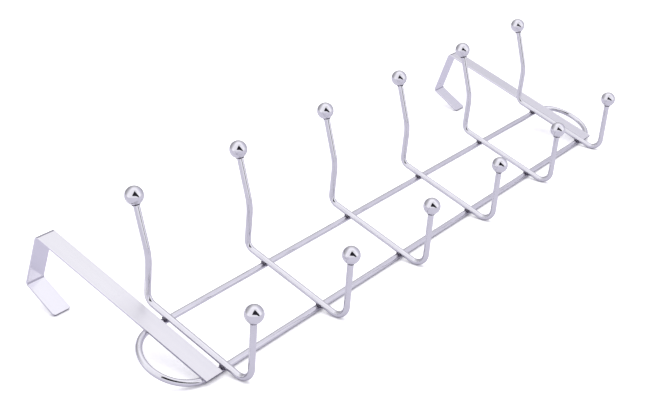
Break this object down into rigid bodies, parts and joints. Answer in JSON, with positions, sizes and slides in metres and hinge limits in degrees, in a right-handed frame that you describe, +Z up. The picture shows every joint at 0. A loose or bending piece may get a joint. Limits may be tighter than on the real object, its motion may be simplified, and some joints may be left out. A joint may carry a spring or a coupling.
{
  "type": "over door hook rack",
  "caption": "Chrome-plated wire rack of double hooks with ball tips, welded to a loop of rails and hung over a door's top edge by two flat straps.",
  "frame": {"origin": "on the top front edge of the door, midway between the two straps; the rails' backs lie against the door's face at Y = 0", "axes": "+X along the rails, to the right of someone who faces the door; +Y from the room into the door; +Z up"},
  "size_m": [0.5824, 0.1216, 0.1774],
  "materials": {
    "chrome_wire": "bright chrome plate on drawn steel wire",
    "chrome_ball": "bright chrome plate on steel balls",
    "chrome_strap": "bright chrome plate on cold-rolled steel strip"
  },
  "bodies": {
    "root": {"rail_loop": "chrome_wire", "hook_wire_1": "chrome_wire", "upper_ball_1": "chrome_ball", "lower_ball_1": "chrome_ball", "hook_wire_2": "chrome_wire", "upper_ball_2": "chrome_ball", "lower_ball_2": "chrome_ball", "hook_wire_3": "chrome_wire", "upper_ball_3": "chrome_ball", "lower_ball_3": "chrome_ball", "hook_wire_4": "chrome_wire", "upper_ball_4": "chrome_ball", "lower_ball_4": "chrome_ball", "hook_wire_5": "chrome_wire", "upper_ball_5": "chrome_ball", "lower_ball_5": "chrome_ball", "hook_wire_6": "chrome_wire", "upper_ball_6": "chrome_ball", "lower_ball_6": "chrome_ball", "left_strap": "chrome_strap", "right_strap": "chrome_strap"}
  },
  "joints": []
}
